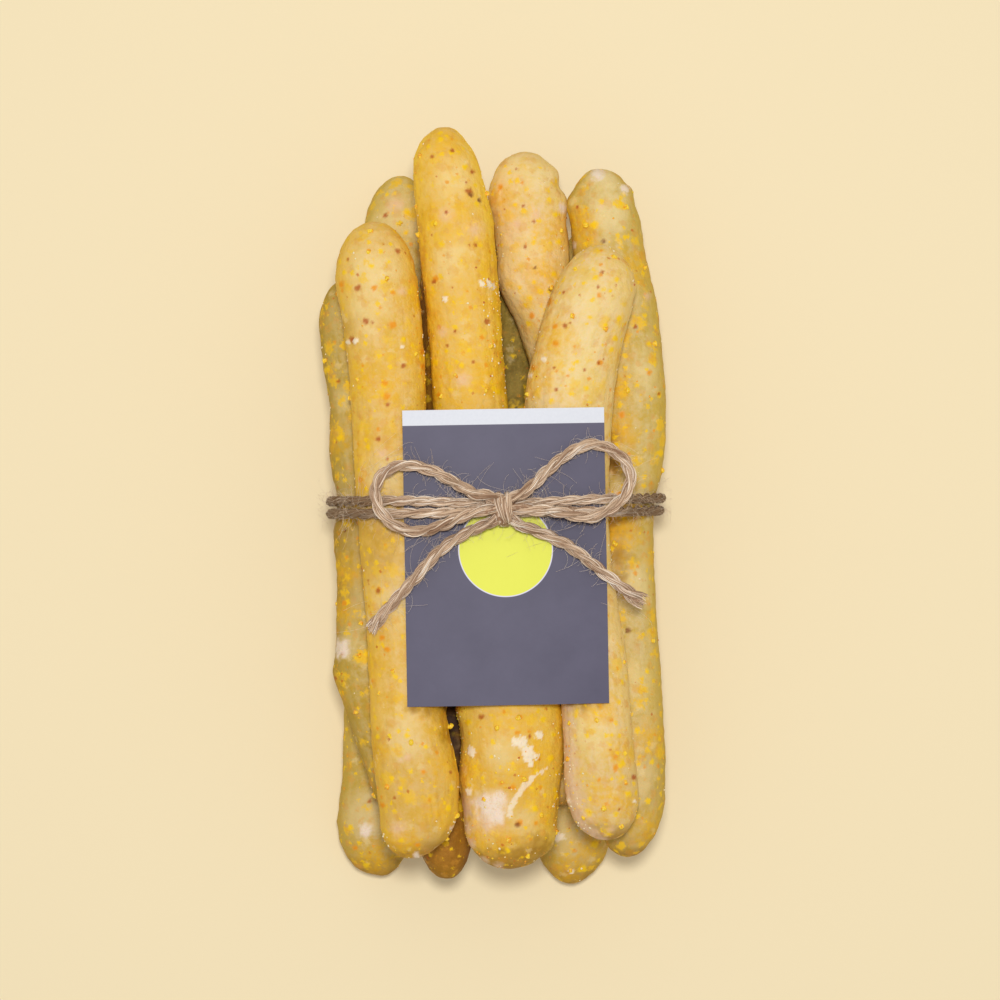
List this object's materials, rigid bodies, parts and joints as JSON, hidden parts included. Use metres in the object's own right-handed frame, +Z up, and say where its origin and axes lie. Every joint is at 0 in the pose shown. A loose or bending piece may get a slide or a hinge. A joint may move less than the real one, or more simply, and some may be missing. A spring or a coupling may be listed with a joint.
{
  "type": "bundle of corn breadsticks",
  "caption": "Bundle of thick rustic corn breadsticks lying on its back, tied round the middle with jute twine in a bow over a small paper card.",
  "frame": {"origin": "on the table under the middle of the bundle's box", "axes": "+Y along the breadsticks towards their upper ends, +X across them to the right as seen from above, +Z up from the table"},
  "size_m": [0.0947, 0.2036, 0.0636],
  "materials": {
    "crust_golden": "baked corn dough, golden, satin",
    "crust_pale": "baked corn dough, pale yellow, satin",
    "twine": "three-ply jute, hairy",
    "card": "printed paper card, silk"
  },
  "bodies": {
    "root": {"stick_bottom_left": "crust_pale", "stick_bottom_middle": "crust_pale", "stick_bottom_right": "crust_pale", "stick_middle_inner_left": "crust_pale", "stick_middle_inner_right": "crust_pale", "stick_middle_left": "crust_pale", "stick_middle_right": "crust_pale", "stick_front_middle": "crust_golden", "stick_front_left": "crust_golden", "stick_front_right": "crust_golden", "card": "card", "twine_turns_and_knot": "twine", "bow_loop_left": "twine", "bow_loop_right": "twine", "bow_tail_left": "twine", "bow_tail_right": "twine"}
  },
  "joints": []
}
